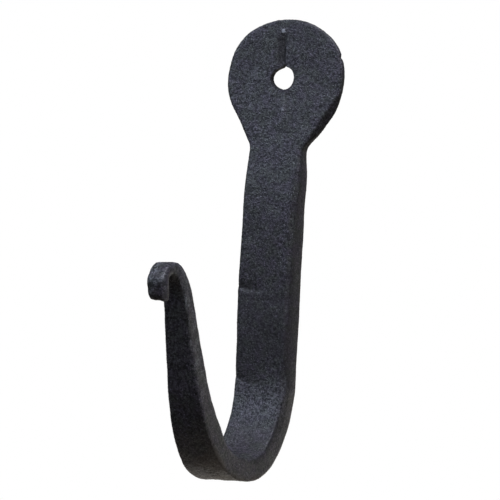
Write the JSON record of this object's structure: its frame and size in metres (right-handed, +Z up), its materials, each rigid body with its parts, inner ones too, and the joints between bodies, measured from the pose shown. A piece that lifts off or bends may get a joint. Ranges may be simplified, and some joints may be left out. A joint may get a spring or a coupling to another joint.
{
  "type": "forged wall hook",
  "caption": "Hand-forged iron wall hook: flat bar with a round screw-on head, a wide J bend, a tapering front leg and a small tip rolled outwards.",
  "frame": {"origin": "centre of the screw hole on the wall plane, which is the flat back of the hook", "axes": "+Z up along the bar, -Y out from the wall along the screw hole's axis, +X to the right as seen from in front"},
  "size_m": [0.0356, 0.0667, 0.1276],
  "materials": {
    "blackened_iron": "black textured finish over hammered forged steel, dull sheen with fine grain"
  },
  "bodies": {
    "root": {"forged_hook": "blackened_iron"}
  },
  "joints": []
}
